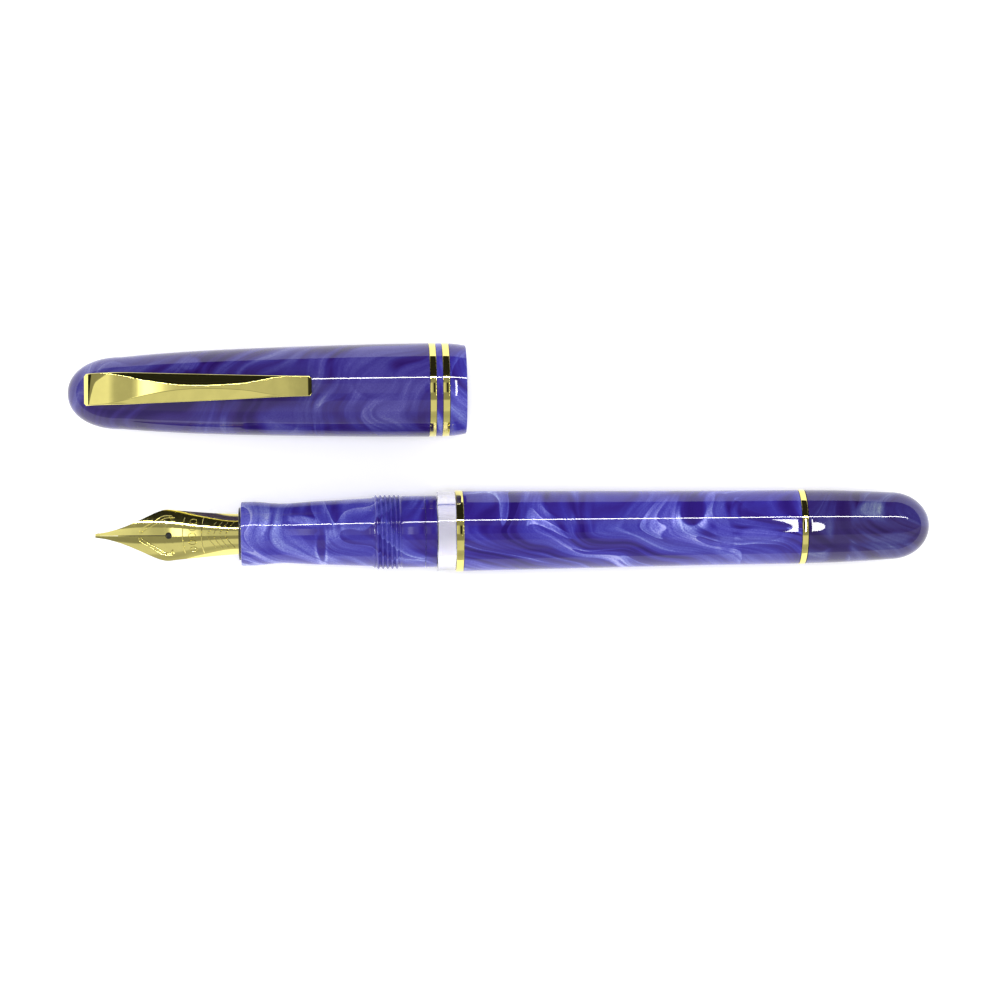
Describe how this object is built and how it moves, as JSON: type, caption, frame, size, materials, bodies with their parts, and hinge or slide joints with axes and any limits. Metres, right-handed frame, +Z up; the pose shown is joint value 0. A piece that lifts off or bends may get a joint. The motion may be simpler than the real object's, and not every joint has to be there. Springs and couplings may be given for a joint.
{
  "type": "piston-filling fountain pen with screw cap",
  "caption": "Uncapped fountain pen with a gold nib, blue swirled resin body, clear ink window and piston filler, and its clip cap lying beside it.",
  "frame": {"origin": "under the middle of the whole object, pen and cap, on the surface that it lies on", "axes": "+X from the nib towards the turning knob, +Y from the pen towards the cap beside it, +Z up"},
  "size_m": [0.1378, 0.0366, 0.0166],
  "materials": {
    "swirl_resin": "polished pearlescent resin, royal blue and violet with paler silver-blue swirls under a deep gloss",
    "gold_trim": "bright polished pale gold plate",
    "nib_gold": "polished pale gold with a fine engraved border and scrollwork",
    "tipping": "hard silvery pellet, ground and polished",
    "black_ebonite": "fine matt black hard rubber",
    "clear_acrylic": "clear polished acrylic, a little frosted inside",
    "dark_liner": "smooth dark moulded plastic",
    "piston_plastic": "off-white moulded plastic",
    "brass": "turned brass",
    "seal_rubber": "black seal rubber"
  },
  "bodies": {
    "pen": {"nib": "nib_gold", "nib_tipping": "tipping", "feed": "black_ebonite", "feed_ink_tube": "black_ebonite", "nib_housing": "black_ebonite", "nib_unit_seal": "seal_rubber", "section": "swirl_resin", "section_collar": "swirl_resin", "ink_window": "clear_acrylic", "barrel_front_ring": "gold_trim", "barrel": "swirl_resin", "barrel_tail_ring": "gold_trim", "piston_guide": "piston_plastic", "guide_seal": "seal_rubber"},
    "thrust_collar": {"knob_thrust_collar": "brass"},
    "knob": {"filler_knob": "swirl_resin", "drive_spindle": "brass"},
    "piston": {"piston_head": "piston_plastic", "piston_front_seal": "seal_rubber", "piston_rear_seal": "seal_rubber", "piston_rod": "piston_plastic"},
    "cap_liner": {"inner_cap": "dark_liner"},
    "cap": {"cap_tube": "swirl_resin", "cap_band_upper": "gold_trim", "cap_spacer_ring": "swirl_resin", "cap_band_lower": "gold_trim", "cap_lip_ring": "swirl_resin", "clip_anchor_block": "brass", "clip_lock_screw": "brass"},
    "clip": {"clip": "gold_trim"}
  },
  "joints": [
    {"name": "knob_advance", "type": "slide", "parent": "pen", "child": "thrust_collar", "axis": [1, 0, 0], "range_m": [0, 0.0027]},
    {"name": "knob_turn", "type": "hinge", "parent": "thrust_collar", "child": "knob", "pos_m": [0.05519, -0.01179, 0.00653], "axis": [1, 0, 0], "range_deg": [0, 1080]},
    {"name": "piston_travel", "type": "slide", "parent": "pen", "child": "piston", "axis": [-1, 0, 0], "range_m": [0, 0.0255]},
    {"name": "cap_slide", "type": "slide", "parent": "pen", "child": "cap_liner", "axis": [-1, 0, 0], "range_m": [0, 0.06]},
    {"name": "cap_turn", "type": "hinge", "parent": "cap_liner", "child": "cap", "pos_m": [-0.03724, 0.01081, 0.0075], "axis": [-1, 0, 0], "range_deg": [0, 540]},
    {"name": "clip_flex", "type": "hinge", "parent": "cap", "child": "clip", "pos_m": [-0.06469, 0.01113, 0.01259], "axis": [0, -0.9981, 0.061], "range_deg": [0, 4], "stiffness_Nm_per_rad": 4, "springref_deg": -0.57}
  ],
  "couplings": [
    {"joint": "knob_turn", "follows": "piston_travel", "rad_per_m": 739.2},
    {"joint": "knob_advance", "follows": "piston_travel", "ratio": 0.10588}
  ]
}
